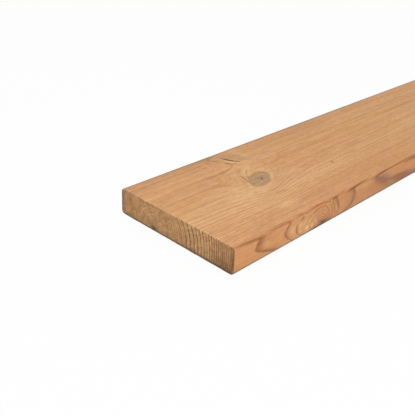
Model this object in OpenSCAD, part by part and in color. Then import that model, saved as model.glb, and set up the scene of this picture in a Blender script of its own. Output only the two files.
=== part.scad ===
// Planed softwood plank: one sawn and planed length of timber.
// The four long edges (arrises) are rounded over and the two ends are sawn square.
// It lies on its wide face. The origin is the middle of the underside,
// +X runs along the grain and +Z points up. Sizes are in millimetres.

/* [Plank] */
// Length along the grain
plank_length = 1800; // [900:100:6000]
// Width of the wide face
plank_width = 145; // [70:1:300]
// Thickness between the two wide faces
plank_thickness = 27; // [15:1:75]

/* [Planed edges] */
// Radius planed on the two upper arrises
upper_arris_r = 3.5; // [0.5:0.5:6]
// Radius planed on the two lower arrises
lower_arris_r = 3.5; // [0.5:0.5:6]

/* [Hidden] */
$fn = 96;

half_width = plank_width / 2;

// One round-over in the cross-section: a disc whose outer quarter rounds a corner.
// side is -1 or 1 for the left or right edge, and level is the height of the disc's centre.
module arris_disc(side, level, radius) {
    translate([side * (half_width - radius), level]) circle(r = radius);
}

// Cross-section in the plane of the sawn end: the width is across, the thickness is up.
// Straight lines join the ends of the four round-overs, and the discs fill the corners.
module plank_section() {
    upper_flat = half_width - upper_arris_r;
    lower_flat = half_width - lower_arris_r;
    shoulder = plank_thickness - upper_arris_r;
    polygon([
        [-lower_flat, 0], [lower_flat, 0],
        [half_width, lower_arris_r], [half_width, shoulder],
        [upper_flat, plank_thickness], [-upper_flat, plank_thickness],
        [-half_width, shoulder], [-half_width, lower_arris_r],
    ]);
    for (side = [-1, 1]) {
        arris_disc(side, lower_arris_r, lower_arris_r);
        arris_disc(side, shoulder, upper_arris_r);
    }
}

// The plank: its section carried along the grain, half its length to either side of the origin.
module plank() {
    color("#cd9b67")
        rotate([90, 0, 90])
            linear_extrude(height = plank_length, center = true)
                plank_section();
}

plank();
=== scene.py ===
"""Planed softwood plank: one board whose rings, knots and checks come from one growth field.

Blender works in metres, in the plank's own frame. The wood is reckoned in millimetres, from the sawn
end that faces the camera, because rings, knots and tool marks are of that size.
"""
import logging
import math
from dataclasses import dataclass, field
from enum import Enum
from typing import NamedTuple, Optional, Union

import bpy
import numpy as np
from mathutils import Matrix, Vector


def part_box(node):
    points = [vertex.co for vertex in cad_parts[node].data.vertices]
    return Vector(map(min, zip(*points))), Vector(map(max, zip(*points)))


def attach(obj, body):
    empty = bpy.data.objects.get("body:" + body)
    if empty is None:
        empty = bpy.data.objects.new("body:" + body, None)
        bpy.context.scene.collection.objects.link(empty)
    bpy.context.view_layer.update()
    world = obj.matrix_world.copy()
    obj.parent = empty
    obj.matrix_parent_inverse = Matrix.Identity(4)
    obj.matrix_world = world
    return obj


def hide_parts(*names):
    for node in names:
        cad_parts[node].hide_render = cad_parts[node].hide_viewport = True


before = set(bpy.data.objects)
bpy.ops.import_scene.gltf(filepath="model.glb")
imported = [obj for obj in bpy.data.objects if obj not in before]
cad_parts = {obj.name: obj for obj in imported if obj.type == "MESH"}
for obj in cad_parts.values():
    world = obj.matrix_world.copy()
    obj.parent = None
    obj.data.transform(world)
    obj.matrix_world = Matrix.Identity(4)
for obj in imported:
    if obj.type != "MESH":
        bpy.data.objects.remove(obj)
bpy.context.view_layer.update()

LOG = logging.getLogger("plank")
Array = np.ndarray
Colour = tuple[float, float, float]
Place = tuple[float, float, float]
Bend = tuple[float, float, float]
Spot = tuple[float, float]
Range = tuple[float, float]
Row = tuple[Spot, Spot, float, float]

NODE = "plank"
BODY = "root"
MM = 0.001
SEED = 27145
# Side of the photograph.
PHOTO_PIXELS = 415
# Steps in which the density of points is added up.
SPREAD_SAMPLES = 20001
# How far below the upper face a point of the solid still counts as part of it, in mm.
LEVEL_TOLERANCE = 0.01
# Angle past which an edge of the mesh is shaded sharp.
SHARP_ANGLE = math.radians(50.0)
# Distances from the near end at which branches leave the pith, in mm. The first is in the photograph.
WHORLS = (154.0, 700.0, 1190.0, 1640.0)


def ease(low: float, high: float, x: Array) -> Array:
    """Smooth step: t squared times (3 minus 2 t), with t running from 0 at low to 1 at high.

    Args:
        low: where the step starts.
        high: where the step ends.
        x: the values to step.

    Returns:
        Values from 0 to 1, in the shape of x.
    """
    t = np.clip((x - low) / (high - low), 0.0, 1.0)
    return t * t * (3.0 - 2.0 * t)


def bell(x: Array, width: float) -> Array:
    """Bell curve: e to the minus (x over width) squared, so 1 at x of 0 and 0.37 at the width."""
    return np.exp(-((x / width) ** 2))


def linear(red: int, green: int, blue: int) -> Colour:
    """Turns a screen colour into the linear values that shaders use.

    Args:
        red: screen red, from 0 to 255.
        green: screen green.
        blue: screen blue.

    Returns:
        The three linear values.
    """
    screen = np.array([red, green, blue]) / 255.0
    low = screen / 12.92
    high = ((screen + 0.055) / 1.055) ** 2.4
    return tuple(float(v) for v in np.where(screen <= 0.04045, low, high))


class KnotTone(Enum):
    """How a knot has coloured, as (share of cover, grey share, dark share, softness of its edge in mm)."""

    SOUND = (0.90, 0.25, 0.10, 1.5)
    GREY = (0.90, 1.00, 0.00, 1.8)
    FADED = (0.32, 0.90, 0.00, 3.0)
    DARK = (0.90, 0.60, 0.75, 1.5)


class Mark(Enum):
    """What a stroke shows; the value names the attribute that carries it."""

    DARK = "dark"
    PALE = "pale"
    GREEN = "green"
    BROWN = "brown"
    ORANGE = "warm"
    STAIN = "stain"


class Face(Enum):
    """The face that a stroke lies on, and with it the two directions of its points."""

    TOP = "along and across"
    FRONT = "along and up"
    END = "across and up"


class Points(NamedTuple):
    """Points of the wood, in mm.

    Attributes:
        along: distances from the near end.
        across: places across, from the middle towards the back edge.
        height: heights above the underside.
    """

    along: Array
    across: Array
    height: Array


@dataclass(frozen=True)
class Branch:
    """A branch: a slim cone that leaves the pith and shows as a knot where a face cuts it.

    Attributes:
        whorl: distance from the near end at which it leaves the pith, in mm.
        turn: direction round the pith in degrees, 0 towards the back edge and 90 upwards.
        lean: how far it runs towards the near end for each millimetre outwards.
        reach: distance from the pith at which the radius is measured, in mm.
        radius: radius of the branch there, in mm.
        tone: how the knot has coloured.
        taper: share of the radius that it gains on the way there.
        aside: how far across from the pith its axis starts, in mm.
    """

    whorl: float
    turn: float
    lean: float
    reach: float
    radius: float
    tone: KnotTone = KnotTone.SOUND
    taper: float = 0.45
    aside: float = 0.0


@dataclass(frozen=True)
class Stroke:
    """A soft streak of colour on one face, between two points in mm.

    Attributes:
        face: the face that it lies on.
        mark: what it shows.
        start: place of one tip, in the face's two directions.
        end: the same of the other tip.
        half_width: distance to either side at which it has faded to 37 percent.
        share: how strongly it covers the wood.
    """

    face: Face
    mark: Mark
    start: Spot
    end: Spot
    half_width: float
    share: float


@dataclass(frozen=True)
class Crack:
    """A drying check on the upper face: a narrow groove between two points, in mm.

    Attributes:
        start: (distance from the near end, place across) of one tip.
        end: the same of the other tip.
        half_width: half the opening at its widest.
        depth: depth at its deepest.
        bow: how far the middle stands aside of the straight line.
    """

    start: Spot
    end: Spot
    half_width: float
    depth: float
    bow: float = 0.0


@dataclass
class GrowthField:
    """The wood inside the plank: a count of growth rings at every point, in mm.

    The stem's count rises with distance from the pith, and each branch carries its own count, which
    rises with distance from the branch's axis. The lower of the two counts holds at each point, with a
    soft change between them, so that rings close up round a knot as they do in a tree.

    Attributes:
        front: place across of the front edge.
        top: height of the upper face.
        branches: all branches, with the photographed whorl first.
        cracks: drying checks on the upper face.
        strokes: streaks of colour on the faces.
        pith_start: place across and height of the pith at the near end.
        pith_bends: (shift across, start and end of the shift along) of each slow bend of the pith.
        pith_rise: the same of its rise.
        first_ring: ring count at the pith.
        core_rings: rings in each millimetre at the pith.
        outer_rings: rings that come with the cube of the radius.
        front_rings: count of the last whole ring on the front edge near the end.
        front_depth: distance over which the front edge's own count fades inwards.
        front_knot: place along of the knot on the front edge.
        front_knot_height: its height.
        front_knot_core: distance round it in which the count stays level.
        crest: height at which the front edge's arcs reach furthest.
        top_fade: depths below the upper face between which what lies on it fades out.
        front_fade: depth behind the front edge at which its strokes have faded to 37 percent.
        end_skin: depth to which strokes on the near end reach.
        collar_lead: rings by which the wood round a branch is ahead of the stem.
        collar_width: width of a ring in that wood.
        knot_ring: width of a ring inside a branch.
        dead_count: count that keeps a branch's rings out of the wood before it starts.
        blend: how sharply the stem's and a branch's count change over.
        swell: rings by which the stem's count sinks beside a branch.
    """

    front: float
    top: float
    branches: list[Branch]
    cracks: list[Crack]
    strokes: list[Stroke]
    pith_start: Spot = (25.3, 3.7)
    pith_bends: tuple[Bend, ...] = ((2.6, 110.0, 200.0), (6.0, 230.0, 560.0), (-14.0, 640.0, 1500.0))
    pith_rise: Bend = (1.6, 500.0, 1100.0)
    first_ring: float = 0.05
    core_rings: float = 0.15
    outer_rings: float = 7.8e-6
    front_rings: float = 25.0
    front_depth: float = 20.0
    front_knot: float = 122.0
    front_knot_height: float = 5.0
    front_knot_core: float = 9.0
    crest: float = 17.0
    top_fade: Range = (0.5, 1.5)
    front_fade: float = 2.5
    end_skin: float = 0.5
    collar_lead: float = 1.5
    collar_width: float = 2.6
    knot_ring: float = 3.0
    dead_count: float = 60.0
    blend: float = 2.0
    swell: float = 1.4

    def pith(self, along: Array) -> tuple[Array, Array]:
        """Where the pith lies: a nearly straight line with slow bends.

        Args:
            along: distances from the near end.

        Returns:
            Its place across and its height, in the shape of along.
        """
        across, height = self.pith_start
        for shift, low, high in self.pith_bends:
            across = across + shift * ease(low, high, along)
        shift, low, high = self.pith_rise
        return across, height + shift * ease(low, high, along)

    def count(self, radius: Array) -> Array:
        """Rings between the pith and a radius: a steady share and one that grows with its cube."""
        return self.first_ring + self.core_rings * radius + self.outer_rings * radius**3

    def ring_density(self, radius: Array) -> Array:
        """Rings in each millimetre at a radius, which is the slope of the count."""
        return self.core_rings + 3.0 * self.outer_rings * radius**2

    def radius(self, along: Array, across: Array, height: Array) -> Array:
        """Distance from the pith."""
        pith_across, pith_height = self.pith(along)
        return np.hypot(across - pith_across, height - pith_height)

    def on_top(self, height: Array) -> Array:
        """1 on the upper face and 0 below it."""
        shallow, deep = self.top_fade
        return ease(self.top - deep, self.top - shallow, height)

    def front_rise(self, along: Array, height: Array) -> Array:
        """Ring count on the front edge, past the count of the last whole ring near the end.

        The count falls towards the knot at the lower arris as one over the distance from it. The
        distance is longer towards the near end and shrinks above and below the middle of the edge,
        so its level lines are nested arcs. Past the knot the count rises with height, which gives the
        long pointed flames.

        Args:
            along: distances from the near end.
            height: heights above the underside.

        Returns:
            The count, in the shape of along.
        """
        from_knot = along - self.front_knot
        above_knot = height - self.front_knot_height
        before = 1.80 + 0.15 * bell(from_knot + 37.0, 9.0) + 0.05 * bell(from_knot + 89.0, 12.0)
        after = 0.90 + 0.30 * ease(15.0, 60.0, from_knot)
        stretch = before + (after - before) * (0.5 + 0.5 * np.tanh(from_knot / 6.0))
        from_crest = height - self.crest
        arch = np.sqrt(1.0 - (from_crest / np.where(from_crest < 0.0, 19.5, 26.0)) ** 2)
        arch = arch + (1.0 - arch) * ease(150.0, 215.0, along)
        sideways = np.abs(from_knot) / stretch / arch
        distance = np.sqrt(sideways**2 + (above_knot / 1.25) ** 2 + self.front_knot_core**2)
        flames = 0.02 * above_knot * ease(170.0, 225.0, along)
        later = 0.9 * (1.0 - np.cos((along - 330.0) / 190.0)) * ease(330.0, 420.0, along)
        past = ease(150.0, 200.0, along)
        fall = (110.0 - 22.0 * past) / (distance + 5.0)
        return 1.88 - 0.295 * past - fall + flames + later

    def stem(self, points: Points) -> Array:
        """Ring count of the stem alone, bent so that the front edge has the count of front_rise.

        The rings drift towards the front edge up to the whorl and back again past it. Slow waves are
        added to the plain count and a bulge beside the large knot is taken from it, away from the edge.

        Args:
            points: the points to look at.

        Returns:
            The count at each point.
        """
        along, across, height = points
        to_front = 7.5 * (ease(-60.0, 130.0, along) - 0.24) * (1.0 - ease(130.0, 360.0, along))
        drift = to_front * (1.0 - ease(-35.0, 12.0, across))
        plain = self.count(self.radius(along, across + drift, height))
        at_front = self.count(self.radius(along, self.front + to_front, height))
        wanted = self.front_rings + self.front_rise(along, height)
        near_front = bell(across - self.front, self.front_depth)
        waves = 0.07 * np.sin(along / 31.0 + across / 11.0) + 0.05 * np.sin(along / 17.0 - across / 7.0)
        pushed = 1.5 * bell(along - 104.0, 18.0) * bell(across + 15.0, 15.0) * ease(8.0, 27.0, height)
        return plain + (wanted - at_front) * near_front + (waves - pushed) * (1.0 - near_front)

    def branch_place(self, branch: Branch, points: Points) -> tuple[Array, Array, Array]:
        """Where points lie beside one branch.

        Args:
            branch: the branch.
            points: the points to look at.

        Returns:
            Distance from the pith of the nearest point on the branch's axis, distance from the axis,
            and the branch's radius there.
        """
        along, across, height = points
        pith_across, pith_height = self.pith(np.array(branch.whorl))
        turn = math.radians(branch.turn)
        steep = math.sqrt(1.0 + branch.lean**2)
        axis = (-branch.lean / steep, math.cos(turn) / steep, math.sin(turn) / steep)
        offset = (along - branch.whorl, across - pith_across - branch.aside, height - pith_height)
        run = sum(a * o for a, o in zip(axis, offset))
        squares = sum((o - run * a) ** 2 for a, o in zip(axis, offset))
        outward = run / steep
        grown = np.clip(outward / branch.reach, 0.0, 1.4)
        return outward, np.sqrt(squares), branch.radius * (1.0 - branch.taper + branch.taper * grown)

    def grow(self, points: Points) -> dict[str, Array]:
        """Everything that the surface and the finish need to know of the wood at these points.

        Args:
            points: the points to look at.

        Returns:
            An array for each of growth (ring count), mature (0 at the pith, 1 in outer wood), the
            knot, grey, dark, halo and rim shares of knots, knot_age (rings of the knot itself) and
            calm (how near a knot, or how far the rings are bent round one).
        """
        stem = self.stem(points)
        growth = stem
        zero = np.zeros_like(points.along)
        knot, grey, dark, halo, rim, calm, knot_age = (zero,) * 7
        for branch in self.branches:
            outward, off_axis, radius = self.branch_place(branch, points)
            alive = ease(0.0, 2.0, outward - 0.4 * abs(branch.aside))
            past_skin = off_axis - radius
            beside = np.maximum(past_skin, 0.0)
            spacing = np.where(past_skin > 0.0, self.collar_width, self.knot_ring)
            age = self.count(np.maximum(outward, 0.0)) - self.collar_lead + past_skin / spacing
            age = age + self.dead_count * (1.0 - alive)
            swell = self.swell * alive * bell(beside, 1.9 * branch.radius)
            growth = -np.logaddexp(-self.blend * (growth - swell), -self.blend * age) / self.blend
            cover, grey_share, dark_share, softness = branch.tone.value
            share = alive * (1.0 - ease(-softness, 0.7 * softness, past_skin))
            knot_age = np.where(share > knot, off_axis / self.knot_ring, knot_age)
            core = bell(off_axis, 0.13 * branch.radius) * share * cover
            knot = np.maximum(knot, share * cover)
            grey = np.maximum(grey, share * grey_share)
            outer = ease(0.60, 0.95, outward / branch.reach)
            pith_dot = (0.60 - 0.45 * grey_share + 0.30 * dark_share) * core
            dark = np.maximum(dark, np.maximum(share * dark_share * outer, pith_dot))
            halo = np.maximum(halo, alive * bell(beside, 0.55 * branch.radius))
            rim = np.maximum(rim, alive * cover * bell(past_skin + 0.4, 0.9))
            calm = np.maximum(calm, 0.9 * alive * bell(beside, 0.8 * branch.radius))
        mature = ease(12.0, 95.0, self.radius(*points)) * (1.0 - 0.5 * ease(20.0, 65.0, points.across))
        bent = ease(0.25, 1.0, stem - growth) * (1.0 - ease(0.2, 0.6, mature))
        return {"growth": growth, "mature": mature, "knot": knot, "grey": grey, "dark": dark,
                "halo": halo * (1.0 - knot), "rim": rim, "knot_age": knot_age,
                "calm": np.maximum(calm, 0.95 * bent)}

    def crack_depth(self, points: Points) -> Array:
        """Depth of the drying checks: a groove whose width and depth fade to nothing at its tips.

        Args:
            points: the points to look at.

        Returns:
            The depth at each point.
        """
        along, across, height = points
        depth = np.zeros_like(along)
        for crack in self.cracks:
            start, end = np.array(crack.start), np.array(crack.end)
            length = float(np.linalg.norm(end - start))
            run = (end - start) / length
            share = ((along - start[0]) * run[0] + (across - start[1]) * run[1]) / length
            inside = np.clip(share, 0.0, 1.0)
            swell = np.clip(4.0 * inside * (1.0 - inside), 0.0, 1.0) ** 1.2
            aside = (across - start[1]) * run[0] - (along - start[0]) * run[1]
            aside = aside - crack.bow * swell
            gap = np.maximum(crack.half_width * swell, 1e-3)
            groove = np.clip(1.0 - np.abs(aside) / gap, 0.0, 1.0) ** 0.7
            depth = np.maximum(depth, crack.depth * swell * groove * self.on_top(height))
        return depth

    def stroke_shares(self, points: Points) -> dict[str, Array]:
        """Streaks on the faces: a bell of the distance from the line between the two tips.

        Where strokes of one mark cross, the stronger one holds, so their order doesn't matter.

        Args:
            points: the points to look at.

        Returns:
            For each mark's attribute, a share from 0 to 1 at each point.
        """
        along, across, height = points
        shares = {mark.value: np.zeros_like(along) for mark in Mark}
        spots = {Face.TOP: (along, across, self.on_top(height)),
                 Face.FRONT: (along, height, bell(across - self.front, self.front_fade)),
                 Face.END: (across, height, (along < self.end_skin).astype(float))}
        for stroke in self.strokes:
            first, second, on_face = spots[stroke.face]
            start, end = np.array(stroke.start), np.array(stroke.end)
            run = end - start
            step = ((first - start[0]) * run[0] + (second - start[1]) * run[1]) / float(run @ run)
            step = np.clip(step, 0.0, 1.0)
            away = np.hypot(first - start[0] - step * run[0], second - start[1] - step * run[1])
            fade = 0.35 + 0.65 * np.sqrt(np.clip(4.0 * step * (1.0 - step), 0.0, 1.0))
            share = stroke.share * fade * bell(away, stroke.half_width) * on_face
            shares[stroke.mark.value] = np.maximum(shares[stroke.mark.value], share)
        return shares


class Bunch(NamedTuple):
    """A stretch with closer points: its middle, its width, and extra points in each mm at the middle."""

    middle: float
    width: float
    extra: float


def spread(low: float, high: float, spacing: float, bunches: list[Bunch]) -> Array:
    """Points from low to high whose spacing tightens in bunches.

    The density of points is one over the plain spacing, plus a bell for each bunch. The points split
    the area under that density into equal shares.

    Args:
        low: the first point.
        high: the last point.
        spacing: distance between points away from the bunches.
        bunches: the stretches with closer points.

    Returns:
        The points in rising order.
    """
    fine = np.linspace(low, high, SPREAD_SAMPLES)
    density = np.full_like(fine, 1.0 / spacing)
    for bunch in bunches:
        density = density + bunch.extra * bell(fine - bunch.middle, bunch.width)
    steps = 0.5 * (density[1:] + density[:-1]) * np.diff(fine)
    area = np.concatenate([[0.0], np.cumsum(steps)])
    number = int(round(area[-1]))
    return np.interp(np.linspace(0.0, area[-1], number + 1), area, fine)


@dataclass(frozen=True)
class Skin:
    """The surface of the plain shape, before its relief.

    Attributes:
        points: its points.
        normal_across: part across of the outward normal at each point.
        normal_up: part upwards of that normal.
        on_side: true on the planed faces and arrises.
        at_near: true on the near end and its rim.
        at_far: true on the far end and its rim.
        quads: one row of four point numbers for each quad.
    """

    points: Points
    normal_across: Array
    normal_up: Array
    on_side: Array
    at_near: Array
    at_far: Array
    quads: Array


@dataclass
class Plank:
    """The plank's board: the boundary of a block of cells, bent to the planed section and worn.

    Attributes:
        length: length along the grain, in mm.
        width: width of the wide face, in mm.
        thickness: thickness, in mm.
        arris: radius of the planed arrises, in mm.
        wood: the growth field that the skin cuts through.
        origin: the near end's place along the plank's frame, in mm.
        pin_knot: distance from the near end of the small spot on the upper face, in mm.
        station_spacing: spacing of the sections along plain stretches, in mm.
        column_spacing: spacing of the lines on the flat of the wide faces, in mm.
        arris_steps: steps across a round-over.
        level_steps: steps from the underside to the upper face.
        bold_ring: count of the ring that stands out in the wood near the pith.
        hollow: depth of earlywood between broad rings, in mm.
        knot_sink: depth of the groove round a knot, in mm.
        saw_depth: depth of the saw's marks on the ends, in mm.
        end_wear: depth of wear at the ends' arrises, in mm.
        corner_knock: depth of the knock at the lower back corner of the near end, in mm.
        dents_number: number of small knocks on the arrises.
        dents_clear: lengths at the near and at the far end that have none, in mm.
        dent_sizes: least and greatest half length of a knock, in mm.
        dent_depths: least and greatest depth of a knock, in mm.
        dent_width: half width of a knock, in mm.
        rng: seeded source of the knocks.
    """

    length: float
    width: float
    thickness: float
    arris: float
    wood: GrowthField
    origin: float
    pin_knot: float = 208.6
    station_spacing: float = 19.0
    column_spacing: float = 1.7
    arris_steps: int = 8
    level_steps: int = 18
    bold_ring: float = 3.86
    hollow: float = 0.10
    knot_sink: float = 0.22
    saw_depth: float = 0.16
    end_wear: float = 0.45
    corner_knock: float = 2.2
    dents_number: int = 14
    dents_clear: Range = (360.0, 25.0)
    dent_sizes: Range = (2.5, 6.0)
    dent_depths: Range = (0.15, 0.45)
    dent_width: float = 2.6
    rng: np.random.Generator = field(default_factory=lambda: np.random.default_rng(SEED))

    def stations(self) -> Array:
        """Where the sections lie: close together at the ends, at the knots and on broad figure.

        Returns:
            Distances from the near end, in rising order.
        """
        seen = WHORLS[0]
        bunches = [Bunch(0.0, 1.2, 3.0), Bunch(self.length, 1.2, 3.0), Bunch(seen + 150.0, 190.0, 0.03),
                   Bunch(self.pin_knot, 4.0, 0.8), Bunch(40.0, 26.0, 0.20), Bunch(240.0, 35.0, 0.12),
                   Bunch(seen - 32.0, 32.0, 1.0), Bunch(seen - 27.0, 8.0, 1.3)]
        bunches += [Bunch(whorl - 26.0, 30.0, 0.75) for whorl in WHORLS[1:]]
        return spread(0.0, self.length, self.station_spacing, bunches)

    def columns(self) -> tuple[Array, Array, Array]:
        """The section's lines along the plank, from the front edge to the back edge.

        Across a round-over the line at angle a lies radius times sin a outwards, and radius times
        (1 minus cos a) below the face. On the flat the lines are closest where the knots lie.

        Returns:
            Place across, drop below the upper face, and the angle of the round-over, for each line.
        """
        flat_half = self.width / 2.0 - self.arris
        knots = [Bunch(8.0, 10.0, 0.35), Bunch(48.0, 10.0, 0.8)]
        flat = spread(-flat_half, flat_half, self.column_spacing, knots)
        angle = np.linspace(0.0, math.pi / 2.0, self.arris_steps + 1)[1:]
        out = flat_half + self.arris * np.sin(angle)
        drop = self.arris * (1.0 - np.cos(angle))
        level = np.zeros_like(flat)
        across = np.concatenate([-out[::-1], flat, out])
        drops = np.concatenate([drop[::-1], level, drop])
        angles = np.concatenate([-angle[::-1], level, angle])
        return across, drops, angles

    def skin(self) -> Skin:
        """The plain shape, as the boundary of a block of cells.

        The cells are numbered by station, column and level. Only the boundary is kept: each point of it
        lies at its station along, at its column across, and between the column's drop from the
        underside and the same drop from the upper face. The levels are closer together at both faces.

        Returns:
            The skin.
        """
        stations = self.stations()
        columns, drops, angles = self.columns()
        even = np.linspace(0.0, 1.0, self.level_steps + 1)
        levels = 0.4 * even + 0.6 * (0.5 - 0.5 * np.cos(math.pi * even))
        shape = (len(stations), len(columns), len(levels))
        kept = np.ones(shape, bool)
        kept[1:-1, 1:-1, 1:-1] = False
        number = np.full(shape, -1)
        number[kept] = np.arange(np.count_nonzero(kept))
        i, j, k = np.nonzero(kept)
        height = drops[j] + levels[k] * (self.thickness - 2.0 * drops[j])

        at_top = k == shape[2] - 1
        at_front = j == 0
        on_wide = at_top | (k == 0)
        up = np.where(at_top, 1.0, -1.0)
        quads = np.concatenate([
            self.sheet(number[:, :, -1], False), self.sheet(number[:, :, 0], True),
            self.sheet(number[:, 0, :], False), self.sheet(number[:, -1, :], True),
            self.sheet(number[0, :, :], True), self.sheet(number[-1, :, :], False),
        ])
        return Skin(
            points=Points(stations[i], columns[j], height),
            normal_across=np.where(on_wide, np.sin(angles[j]), np.where(at_front, -1.0, 1.0)),
            normal_up=np.where(on_wide, up * np.cos(angles[j]), 0.0),
            on_side=on_wide | at_front | (j == shape[1] - 1),
            at_near=i == 0,
            at_far=i == shape[0] - 1,
            quads=quads,
        )

    @staticmethod
    def sheet(numbers: Array, flip: bool) -> Array:
        """The quads of a grid of vertex numbers.

        Args:
            numbers: vertex numbers in rows and columns.
            flip: turns the quads over.

        Returns:
            One row of four vertex numbers for each quad.
        """
        corners = [numbers[:-1, :-1], numbers[1:, :-1], numbers[1:, 1:], numbers[:-1, 1:]]
        if flip:
            corners.reverse()
        return np.stack([c.ravel() for c in corners], axis=1)

    def surface_values(self, skin: Skin) -> dict[str, Array]:
        """What the finish and the relief read at each point of the skin.

        Ring lines are faint near the pith, apart from one bold ring, and full in outer wood. They fade
        along the photographed stretch and beside knots, and stay full where a face lies flat on the
        rings. The ground is brightest a little to the front of the middle.

        Args:
            skin: the plain shape.

        Returns:
            An array for each attribute of the mesh.
        """
        along, across, _ = skin.points
        values = self.wood.grow(skin.points)
        strokes = self.wood.stroke_shares(skin.points)
        dark = Mark.DARK.value
        strokes[dark] = np.maximum(strokes[dark], values[dark])
        values.update(strokes)
        values["check"] = self.wood.crack_depth(skin.points)
        values["cut"] = np.where(skin.on_side, self.flat_cut(skin), 0.0) * values["mature"]
        faded = ease(90.0, 230.0, along) - 0.4 * ease(480.0, 800.0, along)
        plain = (1.0 - 0.6 * faded) * (1.0 - values.pop("calm"))
        young = 0.10 + (0.14 - 0.08 * faded) * bell(values["growth"] - self.bold_ring, 0.30)
        ripe = young + (0.72 - 0.12 * faded - young) * values["mature"]
        values["lines"] = ripe * plain + (1.0 - ripe * plain) * values["cut"]
        bright = bell(across + 28.0, 24.0) * (1.0 - 0.6 * ease(80.0, 220.0, along))
        values["tone"] = 0.05 + 0.22 * ease(60.0, 300.0, along) - 0.30 * bright
        # Dirt and painted shade on the arrises and the ends.
        values["dirt_and_painted_shade"] = self.dirt_and_painted_shade(skin)
        return values

    def flat_cut(self, skin: Skin) -> Array:
        """How squarely a face looks away from the pith: the squared cosine between the two directions.

        Args:
            skin: the plain shape.

        Returns:
            1 where the face lies flat on the rings and 0 where it cuts them squarely.
        """
        along, across, height = skin.points
        pith_across, pith_height = self.wood.pith(along)
        radius = np.maximum(self.wood.radius(along, across, height), 1.0)
        away = (across - pith_across) * skin.normal_across + (height - pith_height) * skin.normal_up
        return (away / radius) ** 2

    def dirt_and_painted_shade(self, skin: Skin) -> Array:
        """Dirt and painted shade along the lower arrises, along the upper back arris, and at the foot and
        corners of the ends.

        Below, it is painted shade over the middle of each round-over, set by the normal's part downwards,
        with a faint painted shade on the underside and just above it that darkens the wood towards the
        bottom. At the upper back it is a narrow bell where the round-over starts, partly dirt and partly
        painted shade of the arris. On the ends it fades with height and away from the corners: partly dirt,
        partly painted contact shadow at the foot and painted shade at the corners.

        Args:
            skin: the plain shape.

        Returns:
            A share from 0 to 1 at each point.
        """
        _, across, height = skin.points
        half = self.width / 2.0
        flat_half = half - self.arris
        # Painted shade on the lower round-overs, strongest where they face partly down, and a faint painted
        # shade below 6 mm.
        lower = 0.8 * ease(0.0, 0.28, -skin.normal_up) * (1.0 - ease(0.65, 0.92, -skin.normal_up))
        lower = np.maximum(lower, 0.08 * (1.0 - ease(2.0, 6.0, height)))
        # Upper back arris: partly dirt, partly painted shade.
        upper_back = 0.6 * bell(across - flat_half - 1.0, 1.7) * (skin.normal_up > 0.0)
        # Ends: a dark foot that is partly dirt and partly painted contact shadow, and darker back and front
        # corners that are partly dirt and partly painted shade.
        to_front = ease(35.0, 70.0, -across)
        foot = 1.0 - ease(0.8, 3.4 + 2.2 * ease(-20.0, 70.0, -across), height)
        soft = (0.20 + 0.20 * to_front) * (1.0 - ease(1.0, 13.0 + 9.0 * to_front, height))
        back = 0.45 * bell(half - across, 4.2)
        front = 0.40 * np.exp(-(half + across) / 1.5)
        ends = np.maximum(np.maximum(foot, soft), np.maximum(back, front))
        return np.where(skin.at_near | skin.at_far, ends, np.maximum(lower, upper_back))

    def dents(self, points: Points) -> Array:
        """Depth of small knocks on the arrises: oval bells at seeded places.

        Args:
            points: the points to look at.

        Returns:
            The depth at each point.
        """
        along, across, height = points
        depth = np.zeros_like(along)
        half = self.width / 2.0
        clear_near, clear_far = self.dents_clear
        for place in self.rng.uniform(clear_near, self.length - clear_far, self.dents_number):
            side = self.rng.choice([-1.0, 1.0])
            level = self.rng.choice([0.0, self.thickness])
            size = self.rng.uniform(*self.dent_sizes)
            on_arris = bell(across - side * half, self.dent_width) * bell(height - level, self.dent_width)
            depth = depth + self.rng.uniform(*self.dent_depths) * (bell(along - place, size) * on_arris)
        return depth

    def side_depth(self, skin: Skin, values: dict[str, Array]) -> Array:
        """How far the planed faces lie inside the plain shape.

        Earlywood lies a little lower than latewood where rings are broad enough for the mesh to show,
        knots have a shallow groove round them, and checks, knocks and worn ends go deeper. The spacing
        of ring lines on a face is the ring width over the sine of the angle between face and rings.

        Args:
            skin: the plain shape.
            values: the wood at its points.

        Returns:
            The depth at each point.
        """
        along, across, height = skin.points
        slant = np.sqrt(np.clip(1.0 - self.flat_cut(skin), 0.0025, 1.0))
        spacing = 1.0 / (self.wood.ring_density(self.wood.radius(along, across, height)) * slant)
        shows = ease(3.5, 7.0, spacing)
        phase = values["growth"] - np.floor(values["growth"])
        late = ease(0.35, 0.9, phase) * (1.0 - ease(0.93, 1.0, phase))
        to_end = np.minimum(along, self.length - along)
        worn = self.end_wear * np.exp(-to_end / 0.7) * (0.75 + 0.25 * np.sin(across / 3.1 + height))
        back_corner = bell(along, 5.0) * bell(across - self.width / 2.0, 3.0) * bell(height, 3.0)
        return (self.hollow * (1.0 - late) * shows + self.knot_sink * values["rim"] + values["check"]
                + worn + self.corner_knock * back_corner + self.dents(skin.points))

    def saw_marks(self, points: Points, slope: float, shift: float) -> Array:
        """Depth of the saw's marks on an end: slanting ridges whose pitch wanders.

        Args:
            points: the points to look at.
            slope: slope of the marks, in millimetres down for each millimetre across.
            shift: start of the pattern.

        Returns:
            The depth at each point.
        """
        _, across, height = points
        run = height + slope * across + 0.0016 * across**2 + shift
        wander = 1.3 * np.sin(across / 23.0 + shift) + 0.7 * np.sin(height / 7.0 - across / 31.0)
        ridges = 0.5 + 0.5 * np.sin(2.0 * math.pi * (run + wander) / 4.6)
        broad = 0.5 + 0.5 * np.sin(2.0 * math.pi * (run - wander) / 13.0)
        return self.saw_depth * (0.65 * ridges + 0.35 * broad)

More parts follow.
